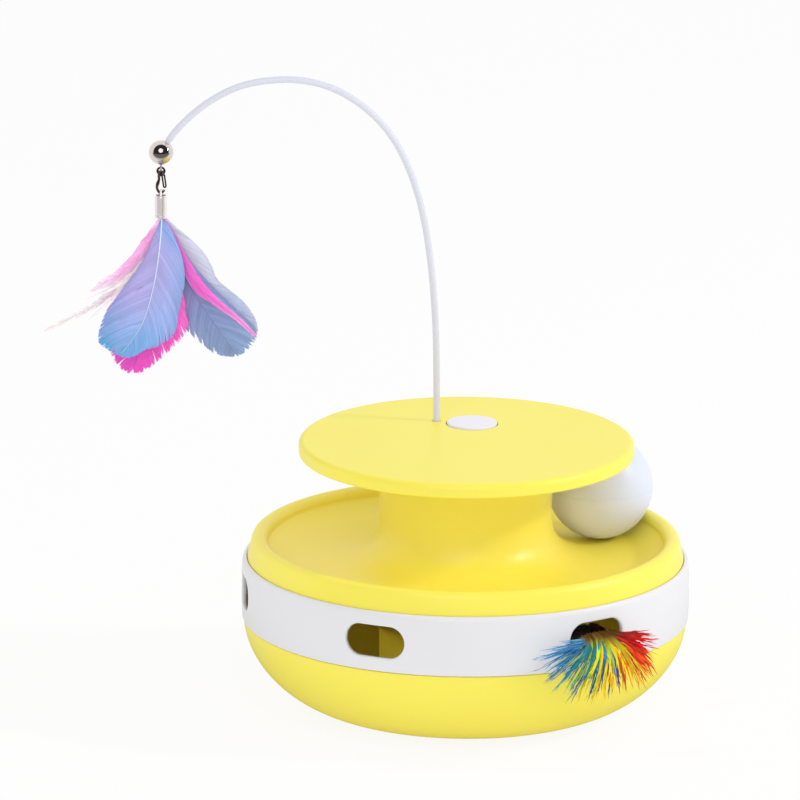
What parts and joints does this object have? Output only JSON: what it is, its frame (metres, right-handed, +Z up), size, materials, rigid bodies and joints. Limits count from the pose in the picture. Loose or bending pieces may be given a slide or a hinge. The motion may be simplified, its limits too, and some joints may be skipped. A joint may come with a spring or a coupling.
{
  "type": "automatic cat toy",
  "caption": "Round motorised cat toy: slotted base with a spinning feather tuft, ball track round a pedestal with a top disc, and an arched wire wand with a bell and feathers.",
  "frame": {"origin": "on the axis of the round base, in the flat outer face of its underside; the rubber feet stand a little below it", "axes": "+Z up along the axis of the base, -Y towards the front as pictured, +X to the right, so that the wand arches towards -X"},
  "size_m": [0.2904, 0.2177, 0.2807],
  "materials": {
    "yellow_plastic": "injection-moulded, satin to semi-gloss",
    "white_plastic": "injection-moulded, semi-gloss",
    "foot_rubber": "matt",
    "plain_steel": "zinc plated",
    "nickel_plate": "nickel plated",
    "polished_bell": "nickel plated, mirror bright",
    "gearbox_brass": "machined",
    "nylon": "moulded, natural",
    "black_plastic": "moulded",
    "lead_black": "extruded flex",
    "lead_red": "extruded flex",
    "board_green": "solder mask",
    "cell_wrap": "shrink wrap over steel",
    "coated_wire": "steel spring wire in a white plastic coat",
    "white_cord": "twisted cord",
    "rainbow_feather": "dyed feather strands",
    "blue_feather": "dyed feather",
    "pink_feather": "dyed feather",
    "grey_blue_feather": "dyed feather",
    "lilac_feather": "dyed feather",
    "pale_feather": "undyed feather"
  },
  "bodies": {
    "base": {"lower_bowl": "yellow_plastic", "battery_door": "yellow_plastic", "door_screw": "plain_steel", "battery_cell_1": "cell_wrap", "battery_cell_2": "cell_wrap", "battery_cell_3": "cell_wrap", "battery_contact_left": "plain_steel", "battery_contact_right": "plain_steel", "rubber_foot_1": "foot_rubber", "rubber_foot_2": "foot_rubber", "rubber_foot_3": "foot_rubber", "rubber_foot_4": "foot_rubber", "white_band": "white_plastic", "track_tray": "yellow_plastic", "case_screw_1": "plain_steel", "case_screw_2": "plain_steel", "case_screw_3": "plain_steel", "case_screw_4": "plain_steel", "hub_tower": "yellow_plastic", "retaining_clip": "plain_steel", "motor_can": "plain_steel", "gearbox": "gearbox_brass", "top_disc": "yellow_plastic", "disc_underplate": "yellow_plastic", "wand_socket": "nylon", "disc_screw_1": "plain_steel", "disc_screw_2": "plain_steel", "disc_screw_3": "plain_steel", "push_switch": "black_plastic", "circuit_board": "board_green", "board_screw_1": "plain_steel", "board_screw_2": "plain_steel", "battery_lead": "lead_black", "motor_lead": "lead_red"},
    "rotor": {"feather_carrier": "yellow_plastic", "feather_clip": "yellow_plastic", "rainbow_tuft": "rainbow_feather"},
    "pinion": {"drive_pinion": "nylon", "gearbox_shaft": "plain_steel"},
    "button": {"power_button": "white_plastic", "switch_plunger": "nylon"},
    "ball": {"ball_upper_half": "white_plastic", "ball_lower_half": "white_plastic"},
    "wand": {"wand_wire": "coated_wire", "tip_bell": "polished_bell", "bell_pellet": "plain_steel"},
    "clasp": {"clasp_hook": "nickel_plate"},
    "gate": {"clasp_gate": "nickel_plate"},
    "teaser": {"ferrule_loop": "white_cord", "feather_ferrule": "nickel_plate", "front_blue_feather": "blue_feather", "left_pink_feather": "pink_feather", "pink_strand_feather": "pink_feather", "lower_pink_feather": "pink_feather", "right_grey_feather": "grey_blue_feather", "right_lilac_feather": "lilac_feather", "white_wisp_feather": "pale_feather"}
  },
  "joints": [
    {"name": "feather_drive", "type": "hinge", "parent": "base", "child": "rotor", "pos_m": [0, 0, 0.046], "axis": [0, 0, 1], "range_deg": [-180, 180], "deforming": ["rainbow_tuft"]},
    {"name": "pinion_turn", "type": "hinge", "parent": "base", "child": "pinion", "pos_m": [0.03, 0, 0.048], "axis": [0, 0, 1], "range_deg": [-720, 720]},
    {"name": "button_press", "type": "slide", "parent": "base", "child": "button", "axis": [0, 0, -1], "range_m": [0, 0.0016], "stiffness_N_per_m": 900},
    {"name": "ball_roll_round", "type": "hinge", "parent": "base", "child": "ball", "pos_m": [0, 0, 0.091], "axis": [0, 0, 1], "continuous": true},
    {"name": "wand_swivel", "type": "hinge", "parent": "base", "child": "wand", "pos_m": [-0.0134, 0.032, 0.115], "axis": [0, 0, 1], "continuous": true},
    {"name": "clasp_swing", "type": "hinge", "parent": "wand", "child": "clasp", "pos_m": [-0.1372, 0.032, 0.2366], "axis": [0, 1, 0], "range_deg": [-45, 45]},
    {"name": "teaser_swing", "type": "hinge", "parent": "clasp", "child": "teaser", "pos_m": [-0.1372, 0.032, 0.226], "axis": [1, 0, 0], "range_deg": [-45, 45]},
    {"name": "gate_open", "type": "hinge", "parent": "clasp", "child": "gate", "pos_m": [-0.13645, 0.032, 0.2331], "axis": [0, 1, 0], "range_deg": [0, 22], "stiffness_Nm_per_rad": 0.0005}
  ],
  "couplings": [
    {"joint": "pinion_turn", "follows": "feather_drive", "ratio": 4}
  ]
}
